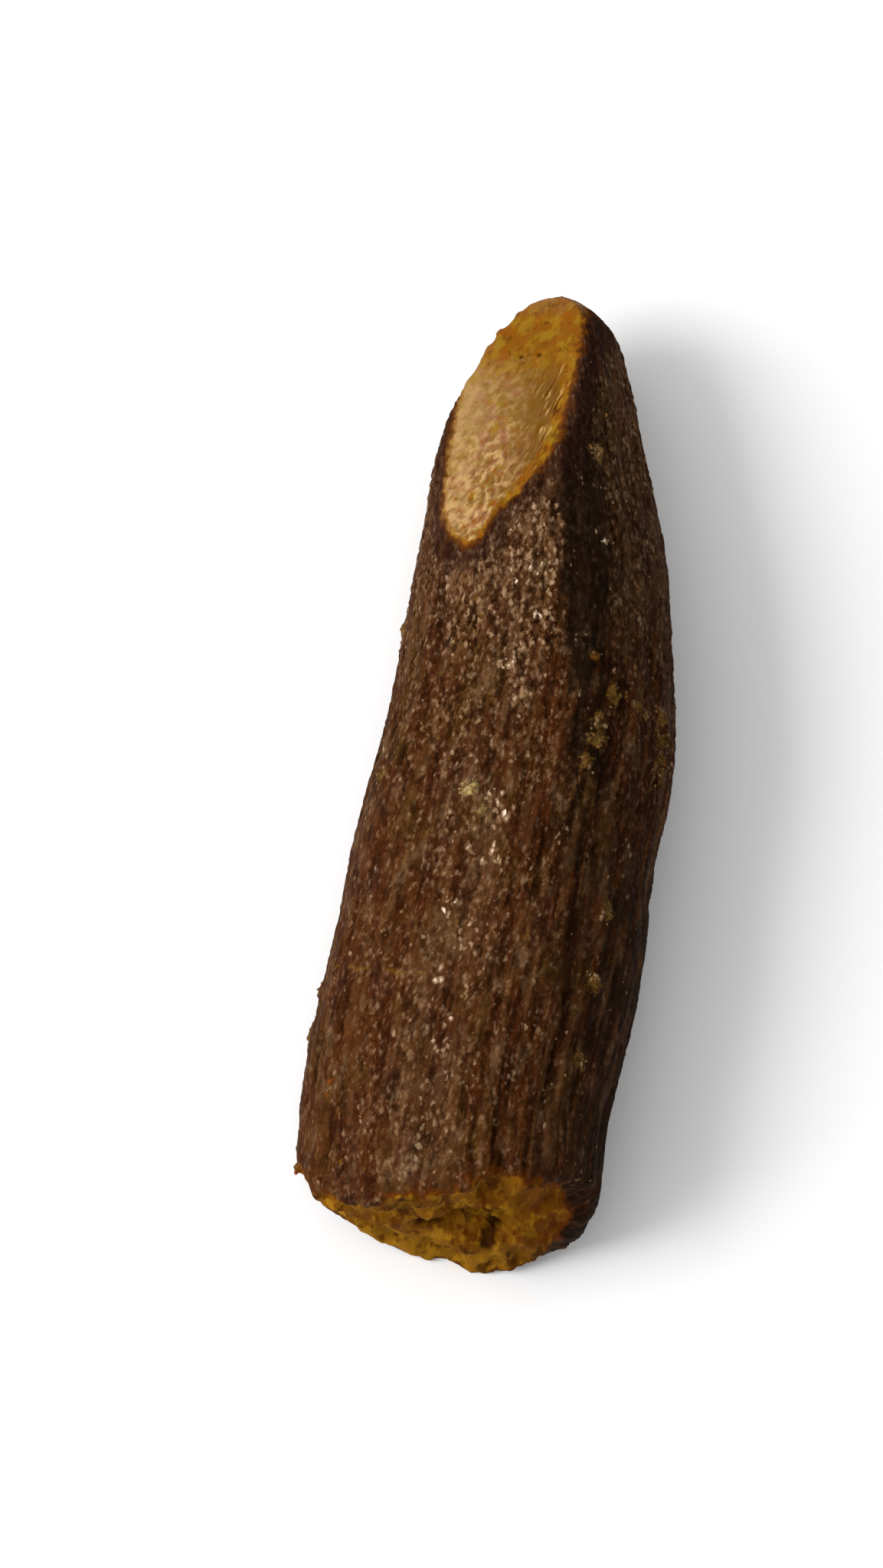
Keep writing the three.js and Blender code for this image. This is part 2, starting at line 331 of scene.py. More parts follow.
FEW_GLINTS = 0.2  # share of such crests, painted as glints, along the painted sheen of the upper crown
FEW_GLINTS_WIDTH = (30, 15)
GRANULE = (0.16, 0.16, 0.25)
GRANULE_SHIFT = 0.24  # how far noise pulls the granules out of shape, and the size of its lumps
SHIFT_SIZE = 0.25
GRANULE_HEIGHT = 0.6  # of a granule's shade in the finest relief, where the strands are 1
GLASSY = (1.24, 1.36)  # bareness at which a granule starts to get its painted glint and its gloss, and has them fully
GLASSY_COAT = 0.5
CREST_ROUGHNESS = 0.5
GROOVE_ROUGHNESS = 0.75

ENAMEL_BROWN = 0x45230C
ENAMEL_OLIVE = 0x483011
ENAMEL_PLUM = 0x3F2216
ENAMEL_RED = 0x401C08
# nearly black painted shade for the right flank, which faces away from the lamp
PAINTED_SHADE_BLACK = 0x150C05
ENAMEL_PALE = 0x60462E
ENAMEL_CREST = 0x927456
ENAMEL_STRAND = 0x5C3A1F
ENAMEL_GROOVE = 0x160802
# Bare crests are pale. Their brightest specks are painted glints, highlights of the lamp.
ENAMEL_BARE = 0xAC8C6C
PAINTED_GLINT = 0xE8D2BA
OCHRE_DUST = 0x7C5614
ENAMEL_PATTERNS = {  # cloudy noise: size of its lumps round and along the tooth, detail, roughness
    "olive_patches": ((1.6, 1.6, 3.2), 4, 0.6),
    "plum_patches": ((1.0, 1.0, 1.8), 4, 0.6),
    "red_patches": ((0.9, 0.9, 2.6), 3, 0.5),
    "strands": ((0.12, 0.12, 1.2), 3, 0.6),
    "stripes": ((0.3, 0.3, 6.0), 2, 0.5),
    "speckle": ((0.17, 0.17, 0.26), 4, 0.65),
    "clusters": ((1.0, 1.0, 1.6), 3, 0.5),
    "dust": ((0.5, 0.5, 1.0), 4, 0.65),
    "dapples": ((0.5, 0.5, 1.1), 2, 0.5),
}
TONE_WEIGHTS = (0.6, -0.6, 2.2)  # of a granule's own shade, the distance from its middle, speckle
BARE_WEIGHTS = (1.0, -0.4, 0.5)  # of a granule's other shade, the distance from its middle, clusters
ENAMEL_SUMS = [  # a value, what is added to it, and what share of that
    ("tone", "pale", 0.16),
    ("bare_and_glint", "glints", 0.28),
    ("bare_and_glint", "black_side", -0.06),
]
ENAMEL_LAYERS = [  # colour, what places it, the values at which it starts and is full, strength
    (ENAMEL_OLIVE, "olive_patches", 0.45, 0.6, 0.7),
    (ENAMEL_PLUM, "plum_patches", 0.5, 0.62, 0.7),
    (ENAMEL_RED, "red_patches", 0.52, 0.64, 0.6),
    # paler upper crown, with a painted sheen along its top
    (ENAMEL_PALE, "pale", 0.0, 1.0, 0.35),
    (ENAMEL_STRAND, "strands", 0.54, 0.74, "lined"),
    (ENAMEL_GROOVE, "strands", 0.46, 0.3, "lined"),
    (ENAMEL_STRAND, "stripes", 0.53, 0.64, "lined"),
    (ENAMEL_RED, "stripes", 0.5, 0.4, "lined"),
    (ENAMEL_GROOVE, "stripes", 0.44, 0.32, "lined"),
    (ENAMEL_PALE, "dapples", 0.53, 0.68, 0.55),
    (ENAMEL_GROOVE, "dapples", 0.48, 0.32, 0.5),
    (ENAMEL_GROOVE, "tone", 1.2, 0.55, "contrast"),
    (ENAMEL_CREST, "tone", 1.15, 2.0, "contrast"),
    (ENAMEL_GROOVE, "crests", 0.4, 0.0, 0.6),
    (OCHRE_DUST, "growth_line", 0.1, 1.0, 0.35),
    (OCHRE_DUST, "dust", 0.64, 0.74, 0.45),
    # painted shade on the right flank
    (PAINTED_SHADE_BLACK, "black_side", 0.0, 1.0, 0.9),
    # pale specks of bare crests, partly painted highlights, and brighter painted glints
    (ENAMEL_BARE, "bare_and_glint", 1.06, 1.2, 0.5),
    (PAINTED_GLINT, "bare_and_glint", *GLASSY, 0.85),
]


def noise_at(points, size, seed):
    """Smooth noise from -1 to 1 at each point, with lumps of a size in millimetres.

    The seed moves it, so that no two noises are alike.
    """
    scaled = points / np.array(size) + seed
    return np.array([noise.noise(Vector(p)) for p in scaled.tolist()])


def ease(value, low, high):
    """0 up to low, 1 from high on and smooth between them. High may be the smaller of the two."""
    share = np.clip((value - low) / (high - low), 0, 1)
    return share * share * (3 - 2 * share)


def keep(**kept):
    """Keeps values at the skin's points, where the material reads them by the same names."""
    kept_at_points.update(kept)
    for name in kept:
        values[name] = add(tree, "ShaderNodeAttribute", attribute_name=name).outputs["Fac"]


wander = [noise_at(grain, CRINKLE_LENGTH, seed) for seed in (3, 11)]
crinkled = grain + CRINKLE * np.stack([*wander, 0 * y_of], axis=1)
nearest = [noise.voronoi(Vector(p))[0][:2] for p in (crinkled / np.array(BEAD)).tolist()]
beads = ease(np.diff(nearest, axis=1)[:, 0], 0.0, BEAD_SLOPE)
wrinkles = 1 - WRINKLE_SHARPNESS * np.abs(noise_at(crinkled, WRINKLE, 5))
ribs = noise_at(grain, RIB, 31)
pits = ease(noise_at(crinkled, PIT, 43), *PIT_EDGE)

# Each border below is made uneven by noise of a size and a seed of its own.
off_underside = ease(turn_of, *OFF_UNDERSIDE)
right_flank = ease(turn_of, *RIGHT_FLANK) * off_underside
right_half = ease(turn_of, *RIGHT_HALF) * off_underside
upwards = ease(y_of + 2 * noise_at(grain, (1.5, 1.5, 3.0), 29), *UPPER_CROWN)
contrast = CONTRAST[0] + CONTRAST[1] * upwards
contrast *= 1 - CALM_FLANKS[0] * ease(turn_of, *LEFT_FLANK) - CALM_FLANKS[1] * ease(turn_of, *RIGHT_FLANK)
contrast *= 1 + PATCHINESS * noise_at(grain, CONTRAST_PATCH, 49)
lined = LINED * (1 - FACET_UNLINED * ease(y_of, *FACET_STRETCH))
lined *= 1 + right_half * ease(y_of, *LOWER_CROWN)
lined *= ease(y_of, *OFF_ROOT_LIP)

past_ridge = np.radians(np.interp(y_of, *zip(*RIDGE_LINE)) - turn_of) * GRAIN_RADIUS
past_ridge += RIDGE_WAVER * noise_at(grain, (0.6, 0.6, 1.0), 35)
ridge = ease(past_ridge, -RIDGE_SIDES[0], 0) * ease(past_ridge, RIDGE_SIDES[1], 0)
ridge *= ease(y_of, *RIDGE_RISE) * ease(y_of, *RIDGE_END)

# Painted shade: past the ridge the right flank turns away from the lamp, and is darkened nearly to black.
ragged = BLACK_RAGGED[0] * noise_at(grain, (0.8, 0.8, 1.6), 37)
ragged += BLACK_RAGGED[1] * noise_at(grain, 0.3, 39)
black_side = (past_ridge + ragged) / np.interp(y_of, *zip(*BLACK_BLEND))
black_side = ease(black_side, -0.1, 1.0) * off_underside
far_streaks = ease(past_ridge + FAR_WAVER * noise_at(grain, FAR_STREAK, 38), *FAR_SIDE)
black_side *= 1 - (FAR_THINNED[0] + FAR_THINNED[1] * ease(y_of, *BLACK_THINS)) * far_streaks
black_side *= 1 - TIP_THINNED * ease(y_of, *BLACK_ENDS)
streaks = ease(noise_at(grain, BLACK_STREAK, 36), *BLACK_STREAK_EDGE)
black_side *= 1 - BLACK_STREAKED * streaks * ease(y_of, *BLACK_STREAKS)

# Painted sheen: a paler band along the crown's top, where light is reflected. The upper crown and a patch
# under the facet are paler in their own colour.
sheen_band = ease(abs(turn_of - SHEEN_TURN), *SHEEN_WIDTH)
pale = sheen_band * (PATCHY_SHEEN + PATCHY_SHEEN * noise_at(grain, (0.9, 0.9, 1.6), 41))
upper = ease(y_of + 4 * noise_at(grain, (1.2, 1.2, 2.0), 47), *PALE_TOP)
pale = 1 - (1 - PALE_SHEEN * np.clip(pale, 0, 1)) * (1 - PALE_UP * upper)
from_right, from_left, from_root = PALE_PATCH
patch = ease(turn_of, *from_right) * ease(turn_of, *from_left) * ease(y_of, *from_root)
pale += PALE_UNDER_FACET * patch

growth_line = np.interp(turn_of, *zip(*GROWTH_LINE)) + GROWTH_LINE_WAVER * noise_at(grain, 0.7, 97)
growth_line = ease(abs(y_of - growth_line), *GROWTH_LINE_EDGE)
growth_line *= ease(abs(turn_of - GROWTH_LINE_SPAN[0]), *GROWTH_LINE_SPAN[1:])
growth_line *= ease(noise_at(grain, 0.6, 101), *GROWTH_LINE_GAPS)

glint = np.array(GLINTS)
from_glint = np.radians(turn_of[:, None] - glint[:, 0]) * GRAIN_RADIUS
from_glint = np.hypot(from_glint, y_of[:, None] - glint[:, 1]).min(1)
glints = np.exp(-(from_glint / GLINT_SPREAD) ** 2)
few_glints = FEW_GLINTS * ease(y_of, *GLINTS_START) * ease(abs(turn_of - SHEEN_TURN), *FEW_GLINTS_WIDTH)
glints = np.maximum(glints, few_glints)

bead_strength = (1 - SMOOTH_BLACK * black_side) * (1 - SMOOTH_FLANK * right_flank) * contrast
wrinkle_strength = LEFT_WRINKLES + (1 - LEFT_WRINKLES) * ease(grain[:, 0], *MIDDLE_BAND)
wrinkle_strength *= 1 - SMOOTH_BLACK * black_side
enamel_relief = (
    RIDGE_HEIGHT * ridge
    + BEAD_HEIGHT * (beads - BEAD_LEVEL) * bead_strength
    + WRINKLE_HEIGHT * (wrinkles - WRINKLE_LEVEL) * wrinkle_strength
    + RIB_HEIGHT * ribs
    - PIT_DEPTH * pits
)
enamel_relief *= np.repeat(ease(ring_ts, *TIP_POLE), COLUMNS)
keep(
    crests=CREST_BEADS * beads + CREST_WRINKLES * wrinkles + CREST_BASE - CREST_PITS * pits,
    contrast=contrast,
    lined=lined,
    black_side=black_side,
    pale=pale,
    growth_line=growth_line,
    glints=glints,
)

for name, (size, detail, roughness) in ENAMEL_PATTERNS.items():
    scaled = {"Vector": places["grain"], "Scale": [1 / s for s in size]}
    scaled = add(tree, "ShaderNodeMapping", scaled).outputs["Vector"]
    clouds = {"Vector": scaled, "Scale": 1.0, "Detail": detail, "Roughness": roughness}
    values[name] = add(tree, "ShaderNodeTexNoise", clouds).outputs["Fac"]
pull = {"Vector": places["grain"], "Scale": 1 / SHIFT_SIZE, "Detail": 2.0}
pull = add(tree, "ShaderNodeTexNoise", pull)
pull = {0: pull.outputs["Color"], 1: [GRANULE_SHIFT] * 3, 2: places["grain"]}
pulled = add(tree, "ShaderNodeVectorMath", pull, operation="MULTIPLY_ADD").outputs["Vector"]
scaled = add(tree, "ShaderNodeMapping", {"Vector": pulled, "Scale": [1 / s for s in GRANULE]})
granules = add(tree, "ShaderNodeTexVoronoi", {"Vector": scaled.outputs["Vector"], "Scale": 1.0})
shades = add(tree, "ShaderNodeSeparateColor", {"Color": granules.outputs["Color"]}).outputs
for name, shade, third, weights in (
    ("tone", shades[0], "speckle", TONE_WEIGHTS),
    ("bare_and_glint", shades[1], "clusters", BARE_WEIGHTS),
):
    parts = {0: shade, 1: granules.outputs["Distance"], 2: values[third]}
    parts = {0: add(tree, "ShaderNodeCombineXYZ", parts).outputs[0], 1: weights}
    values[name] = add(tree, "ShaderNodeVectorMath", parts, operation="DOT_PRODUCT").outputs["Value"]
for name, more, share in ENAMEL_SUMS:
    parts = {0: values[more], 1: share, 2: values[name]}
    values[name] = add(tree, "ShaderNodeMath", parts, operation="MULTIPLY_ADD").outputs[0]


def lay_over(colour, layers):
    """Lays tints over a colour, each in its strength where a value is past where the tint is full."""
    colour = linear(colour) if isinstance(colour, int) else colour
    for tint, name, start, full, share in layers:
        limits = {"Value": values[name], "From Min": start, "From Max": full}
        limits["To Max"] = values.get(share, share)
        cover = add(tree, "ShaderNodeMapRange", limits, interpolation_type="SMOOTHSTEP").outputs["Result"]
        tint = linear(tint) if isinstance(tint, int) else tint
        colour = {0: cover, 6: colour, 7: tint}
        colour = add(tree, "ShaderNodeMix", colour, data_type="RGBA").outputs[2]
    return colour


enamel = lay_over(ENAMEL_BROWN, ENAMEL_LAYERS)
dull = {"Value": values["crests"], "To Min": GROOVE_ROUGHNESS, "To Max": CREST_ROUGHNESS}
dull = add(tree, "ShaderNodeMapRange", dull).outputs["Result"]
glassy = {"Value": values["bare_and_glint"], "From Min": GLASSY[0], "From Max": GLASSY[1], "To Max": GLASSY_COAT}
glassy = add(tree, "ShaderNodeMapRange", glassy).outputs["Result"]
fine_relief = {0: values["tone"], 1: GRANULE_HEIGHT, 2: values["strands"]}
fine_relief = add(tree, "ShaderNodeMath", fine_relief, operation="MULTIPLY_ADD").outputs[0]
fine_relief = {0: fine_relief, 1: values["contrast"]}
fine_relief = add(tree, "ShaderNodeMath", fine_relief, operation="MULTIPLY").outputs[0]

# --- Worn dentine -----------------------------------------------------------------------------
# Chewing wore the crown's left side to a flat facet. The dentine that it bared fossilised honey-
# coloured: amber where it is thin, along the rim and at the tip, mottled cream and amber round small
# pores in its lower half, and finely scratched along its right edge.

FACET_POINT = Vector((-1.5, 10.14, 7.0))  # a point of the facet's plane
FACET_SLOPE_TO_TIP = math.radians(22)
FACET_SLOPE_TO_SIDE = math.radians(34)
# The dentine's border in that plane, in millimetres to the right and towards the tip.
FACET_BORDER = [
    (2.5, 6.6), (2.65, 4.8), (2.55, 2.6), (2.35, 0.4), (1.8, -0.95), (1.05, -1.8), (0.3, -2.45),
    (0.0, -2.75), (-0.4, -3.5), (-1.0, -3.8), (-1.65, -3.15), (-2.2, -2.2), (-2.35, -0.9), (-2.35, 0.4),
    (-2.3, 1.6), (-2.25, 2.8), (-2.2, 3.8), (-2.4, 5.2), (-1.5, 7.2), (0.2, 8.4), (1.4, 8.2),
]
FACET_DEPTH = 0.5  # how far under its plane the dentine shows, where the rim is worn through
TIP_DEPTH = 1.3  # and how much further round the tip
STEP_WEIGHT = 3  # a step down from the plane counts for the border as so many steps along it
TIP_STRETCH = (4.0, 7.0)  # distance towards the tip over which the facet becomes its tip
RIM_WIDTHS = (0.2, 0.65)  # of the amber rim, left and right
RIM_CHANGE = (-0.5, 1.0)  # distance to the right over which it goes from one to the other
SWELL = 1.2
SWELL_HEIGHT = 0.05
TIP_WEAR = 0.13  # how much the very tip is rounded off
TIP_END = 0.6  # and over what length
CHIP = 0.3
CHIP_HEIGHT = 0.36
CHIPPED_RIM = (0.8, 0.1)  # distance from the border at which the chips start, and are deepest
CHIPPED_SIDE = (-0.6, -1.5)  # x at which they start, and are deepest
LOW_CHIPS = 0.3  # their strength away from the tip
MOTTLE = (0.34, 0.42)
PORE = (0.22, 0.34)  # width and length
PORE_DEPTH = 0.07
LOWER_HALF = (3.0, -0.8)  # distance towards the tip between which the mottled lower half starts
MOTTLED_ALL = 0.4  # strength of the mottling above it
SCRATCHED_SIDE = (0.4, 1.3)  # distance to the right over which the scratches come in
SCRATCHED_END = (4.2, 3.2)  # distance towards the tip over which they come in
SCRATCH = (0.11, 0.9)
LEAN = math.radians(24)  # of pores and scratches, from the line to the tip towards the right edge
DARK_PITS = [(0.1, 4.85), (0.85, 4.7)]  # their places in the plane
DARK_PIT_EDGE = (0.14, 0.03)  # distance from a pit's middle at which it starts, and is full
DENTINE_ROUGHNESS = 0.5

DENTINE_HONEY = 0x7A5A28
DENTINE_ROSE = 0x8A5E40
DENTINE_CREAM = 0xB08C5A
DENTINE_AMBER = 0x76490A
DENTINE_ORANGE = 0x824808
DENTINE_YELLOW = 0x8C6A18
DENTINE_UMBER = 0x66420F
DENTINE_RUST = 0x4E2608
PORE_BROWN = 0x60380C
PIT_BROWN = 0x241405
SCRATCH_CREAM = 0xA88450
FACET_BRUISE = 0x26100C
DENTINE_PATTERNS = {  # cloudy noise: its coordinates, size of its lumps, detail and roughness
    "rosy_patches": ("tooth", (0.55, 0.8, 0.55), 5, 0.6),
    "yellow_patches": ("tooth", (0.6, 0.8, 0.6), 5, 0.65),
    "orange_patches": ("tooth", (0.4, 0.9, 0.5), 4, 0.6),
    "fray": ("tooth", (0.35, 0.35, 0.35), 4, 0.5),
    "mottle": ("leaning", (*MOTTLE, 1.0), 3, 0.6),
    "scratch": ("leaning", (*SCRATCH, 1.0), 1, 0.5),
}
DENTINE_SUMS = [  # a value, what frays it, how much it does so, and the value that is frayed
    ("facet_edge", "fray", 0.7, "facet_in"),
    ("rim_edge", "fray", 1.2, "rim_in"),
    ("tip_edge", "fray", 2.5, "towards_tip"),
    ("side_edge", "fray", 1.0, "to_right"),
]
AMBER_LAYERS = [  # colour, what places it, the values at which it starts and is full, strength
    (DENTINE_ORANGE, "orange_patches", 0.4, 0.7, 1.0),
    (DENTINE_YELLOW, "yellow_patches", 0.45, 0.62, 0.7),
    (DENTINE_RUST, "mottle", 0.47, 0.32, 0.55),
    (DENTINE_CREAM, "side_edge", -0.2, -2.0, 0.3),
    (DENTINE_ROSE, "tip_edge", 7.8, 9.8, 0.55),
]
DENTINE_LAYERS = [
    (DENTINE_ROSE, "rosy_patches", 0.42, 0.6, 1.0),
    (DENTINE_CREAM, "side_edge", 0.1, -1.6, 0.5),
    (DENTINE_YELLOW, "yellow_patches", 0.52, 0.66, 0.6),
    (DENTINE_CREAM, "mottle", 0.46, 0.62, "lower_half"),
    (DENTINE_ORANGE, "mottle", 0.46, 0.32, "lower_half"),
    (DENTINE_UMBER, "side_edge", 0.1, 1.9, 0.9),
]
FACET_MARKS = [
    (SCRATCH_CREAM, "scratch", 0.62, 0.7, "near_edge"),
    (DENTINE_RUST, "scratch", 0.42, 0.28, "near_edge"),
    (PORE_BROWN, "pores", 0.3, 1.0, 0.55),
    (PIT_BROWN, "dark_pits", 0.2, 0.8, 1.0),
    (DENTINE_RUST, "facet_edge", 0.49, 0.35, 0.8),
]

sideways = Vector((1, 0, math.tan(FACET_SLOPE_TO_SIDE)))
tipward = Vector((0, 1, -math.tan(FACET_SLOPE_TO_TIP))).normalized()
facet_up = sideways.cross(tipward).normalized()
rightward = tipward.cross(facet_up)


def border_distance(points, corners):
    """How far inside a closed border each point of a plane is. Outside is minus."""
    border = np.array(corners)
    for _ in range(3):  # cuts the border's corners, to round it
        after = np.roll(border, -1, axis=0)
        border = np.stack([0.75 * border + 0.25 * after, 0.25 * border + 0.75 * after], 1).reshape(-1, 2)
    inside = np.zeros(len(points), bool)
    nearest = np.full(len(points), np.inf)
    for a, b in zip(border, np.roll(border, -1, axis=0)):
        step = b - a
        share = np.clip((points - a) @ step / (step @ step), 0, 1)
        nearest = np.minimum(nearest, np.linalg.norm(points - a - share[:, None] * step, axis=1))
        spans = (a[1] > points[:, 1]) != (b[1] > points[:, 1])
        crossing = a[0] + (points[:, 1] - a[1]) * step[0] / (step[1] or 1)
        inside ^= spans & (points[:, 0] < crossing)
    return np.where(inside, nearest, -nearest)


facet_axes = np.array([rightward, tipward, facet_up])
facet_place = (flat_skin - np.array(FACET_POINT)) @ facet_axes.T
facet_in = border_distance(facet_place[:, :2], FACET_BORDER)
tip_share = ease(facet_place[:, 1], *TIP_STRETCH)
worn_through = FACET_DEPTH + TIP_DEPTH * tip_share + facet_place[:, 2]
facet_in = np.minimum(facet_in, STEP_WEIGHT * worn_through)
rim_share = ease(facet_place[:, 0], *RIM_CHANGE)
rim_in = facet_in / (RIM_WIDTHS[0] + (RIM_WIDTHS[1] - RIM_WIDTHS[0]) * rim_share)

lean = np.array([[math.cos(LEAN), -math.sin(LEAN)], [math.sin(LEAN), math.cos(LEAN)]])
leaning = np.pad(facet_place[:, :2] @ lean.T, ((0, 0), (0, 1)))
lower_half = ease(facet_place[:, 1] + 1.5 * noise_at(leaning, 1.3, 53), *LOWER_HALF)
lower_half = MOTTLED_ALL + (1 - MOTTLED_ALL) * lower_half
pores = ease(noise_at(leaning, (*PORE, 1.0), 57), 0.0, 0.4) * lower_half
near_edge = ease(facet_place[:, 0], *SCRATCHED_SIDE) * ease(facet_place[:, 1], *SCRATCHED_END)
dark_pits = sum(
    ease(np.linalg.norm(facet_place[:, :2] - np.array(pit), axis=1), *DARK_PIT_EDGE)
    for pit in DARK_PITS
)
chips = noise_at(flat_skin, CHIP, 68) * ease(facet_in, *CHIPPED_RIM)
chips *= LOW_CHIPS + (1 - LOW_CHIPS) * tip_share
chips *= ease(flat_skin[:, 0], *CHIPPED_SIDE)
dentine_relief = (
    SWELL_HEIGHT * noise_at(flat_skin, SWELL, 61)
    + CHIP_HEIGHT * chips
    - PORE_DEPTH * pores
    - 2 * PORE_DEPTH * dark_pits
    - TIP_WEAR * ease(flat_skin[:, 1], tip_y - TIP_END, tip_y)
)

keep(
    facet_in=facet_in,
    rim_in=rim_in,
    pores=pores,
    dark_pits=dark_pits,
    near_edge=near_edge,
    lower_half=lower_half,
)

kept_at_points["facet_place"] = facet_place
places["facet"] = add(tree, "ShaderNodeAttribute", attribute_name="facet_place").outputs["Vector"]
leaning_place = add(tree, "ShaderNodeMapping", {"Vector": places["facet"], "Rotation": (0, 0, LEAN)})
places["leaning"] = leaning_place.outputs["Vector"]
for name, (place, size, detail, roughness) in DENTINE_PATTERNS.items():
    scaled = add(tree, "ShaderNodeMapping", {"Vector": places[place], "Scale": [1 / s for s in size]})
    clouds = {"Vector": scaled.outputs["Vector"], "Scale": 1.0, "Detail": detail, "Roughness": roughness}
    values[name] = add(tree, "ShaderNodeTexNoise", clouds).outputs["Fac"]
for name, way in (("to_right", (1, 0, 0)), ("towards_tip", (0.3, 1, 0))):
    way = {0: places["facet"], 1: way}
    values[name] = add(tree, "ShaderNodeVectorMath", way, operation="DOT_PRODUCT").outputs["Value"]
for name, more, share, base in DENTINE_SUMS:
    parts = {0: values[more], 1: share, 2: values[base]}
    values[name] = add(tree, "ShaderNodeMath", parts, operation="MULTIPLY_ADD").outputs[0]

amber = lay_over(DENTINE_AMBER, AMBER_LAYERS)
amber_layers = [(amber, "tip_edge", 4.4, 6.4, 1.0), (amber, "rim_edge", 1.7, 1.3, 1.0)]
dentine = lay_over(DENTINE_HONEY, DENTINE_LAYERS + amber_layers + FACET_MARKS)

# --- Broken root ------------------------------------------------------------------------------
# The break shows the tooth's inside: crumbly, ochre with clay and sandstone, brown-black where
# the pulp hollow and the gaps between the crumbs are deep, and rusty along the enamel's edge.

CRUMB_SIZES = {0.9: 0.2, 0.42: 0.13, 0.2: 0.05}  # size of a crumb of the break: its height
CRUMB_STRETCH = 2.6  # the crumbs are splinters, that stand upright in the break
PULP_HOLLOWS = [  # x and z of the hollow's three mouths, half their width and height, their depth
    (-0.4, 4.7, 0.85, 0.7, 0.35), (1.3, 5.6, 0.9, 0.5, 0.35), (1.35, 3.6, 0.3, 1.3, 0.25),
]
BREAK_LOOK_DOWN = -0.3  # a face of the break looks at least this much towards the root
BREAK_REACH = 2.8  # and lies within this of the root's end
LIP_LEFT = 0.35  # how far the enamel laps over the break's edge, and the x over which it does
LIP_LEFT_SIDE = (-1.0, -3.0)
LIP_RIGHT = 1.2
LIP_RIGHT_SIDE = (2.8, 4.0)
RIM_SHARES = (0.1, 0.3, 0.5, 0.7, 0.9)  # places along each edge of the rim that stand for it
HOLLOW_FRAY = 0.25  # how far the hollows' edges are frayed, and in what size of steps
HOLLOW_FRAY_SIZE = 0.5
HOLLOW_EDGE = (1.3, 0.6)  # shares of their half widths at which they start, and are full
BREAK_ROUGHNESS = 0.8

ROOT_OCHRE = 0x6C4408
ROOT_CLAY = 0x7E5010
ROOT_YELLOW = 0x9A6C16
ROOT_PIT = 0x321803
ROOT_RUST = 0x542805
ROOT_PATTERNS = {  # cloudy noise: size of its lumps, detail and roughness
    "clay_patches": (0.6, 4, 0.5),
    "rust_patches": (1.1, 4, 0.65),
    "rust_spots": (0.45, 3, 0.5),
    "pit_spots": (0.7, 4, 0.6),
    "yellow_crumbs": (0.36, 4, 0.5),
    "ragged": (0.5, 4, 0.5),
}
ROOT_LAYERS = [  # colour, what places it, the values at which it starts and is full, strength
    (ROOT_CLAY, "clay_patches", 0.42, 0.6, 1.0),
    (ROOT_RUST, "rust_patches", 0.5, 0.62, 0.6),
    (ROOT_YELLOW, "yellow_crumbs", 0.5, 0.64, 0.8),
    (ROOT_YELLOW, "height", 3.4, 1.4, 0.5),
    (ROOT_RUST, "rightward", 1.4, 3.0, 0.45),
    (ROOT_RUST, "rust_spots", 0.53, 0.64, 0.8),
    (ROOT_PIT, "pit_spots", 0.56, 0.66, 0.75),
    (ROOT_PIT, "crumbs", -0.08, -0.24, 0.7),
    (ROOT_PIT, "hollows", 0.1, 0.8, 0.95),
]

broken = np.array([
    face.normal.y < BREAK_LOOK_DOWN and face.calc_center_median().y < root_y + BREAK_REACH
    for face in solid.faces
])
rim = [
    edge.verts[0].co.lerp(edge.verts[1].co, share)
    for edge in solid.edges
    if len({bool(broken[face.index]) for face in edge.link_faces}) == 2
    for share in RIM_SHARES
]
solid.free()
rim_tree = KDTree(len(rim))
for number, place in enumerate(rim):
    rim_tree.insert(place, number)
rim_tree.balance()
from_rim = np.array([rim_tree.find(p)[2] for p in flat_skin])
break_in = np.where(broken[met_face.ravel()], from_rim, -from_rim)
lip_left = LIP_LEFT * ease(flat_skin[:, 0], *LIP_LEFT_SIDE)
break_in -= lip_left + LIP_RIGHT * ease(flat_skin[:, 0], *LIP_RIGHT_SIDE)
crumbs = sum(
    height * noise_at(flat_skin, (size, size, CRUMB_STRETCH * size), 71 + number)
    for number, (size, height) in enumerate(CRUMB_SIZES.items())
)
frayed_skin = flat_skin + HOLLOW_FRAY * noise_at(flat_skin, HOLLOW_FRAY_SIZE, 79)[:, None]
hollows = np.zeros(len(flat_skin))
hollow_relief = np.zeros(len(flat_skin))
for x, z, across, down, depth in PULP_HOLLOWS:
    from_middle = np.hypot((frayed_skin[:, 0] - x) / across, (frayed_skin[:, 2] - z) / down)
    mouth = ease(from_middle, *HOLLOW_EDGE)
    hollows = np.maximum(hollows, mouth)
    hollow_relief -= depth * mouth
keep(break_in=break_in, crumbs=crumbs, hollows=hollows)

for name, (size, detail, roughness) in ROOT_PATTERNS.items():
    scaled = {"Vector": places["tooth"], "Scale": [1 / size, 1 / size, 1 / size / CRUMB_STRETCH]}
    scaled = add(tree, "ShaderNodeMapping", scaled).outputs["Vector"]
    clouds = {"Vector": scaled, "Scale": 1.0, "Detail": detail, "Roughness": roughness}
    values[name] = add(tree, "ShaderNodeTexNoise", clouds).outputs["Fac"]
sides = add(tree, "ShaderNodeSeparateXYZ", {0: places["tooth"]}).outputs
values |= {"rightward": sides[0], "height": sides[2]}
break_edge = {0: values["ragged"], 1: 1.6, 2: values["break_in"]}
values["break_edge"] = add(tree, "ShaderNodeMath", break_edge, operation="MULTIPLY_ADD").outputs[0]

root = lay_over(ROOT_OCHRE, ROOT_LAYERS)

# --- Sandy crust ------------------------------------------------------------------------------
# Here and there the bed's sand is cemented onto the enamel by iron: small crusts, cream to orange,
# rough, and thin at their edges. The grains that stick out of them are set on below.

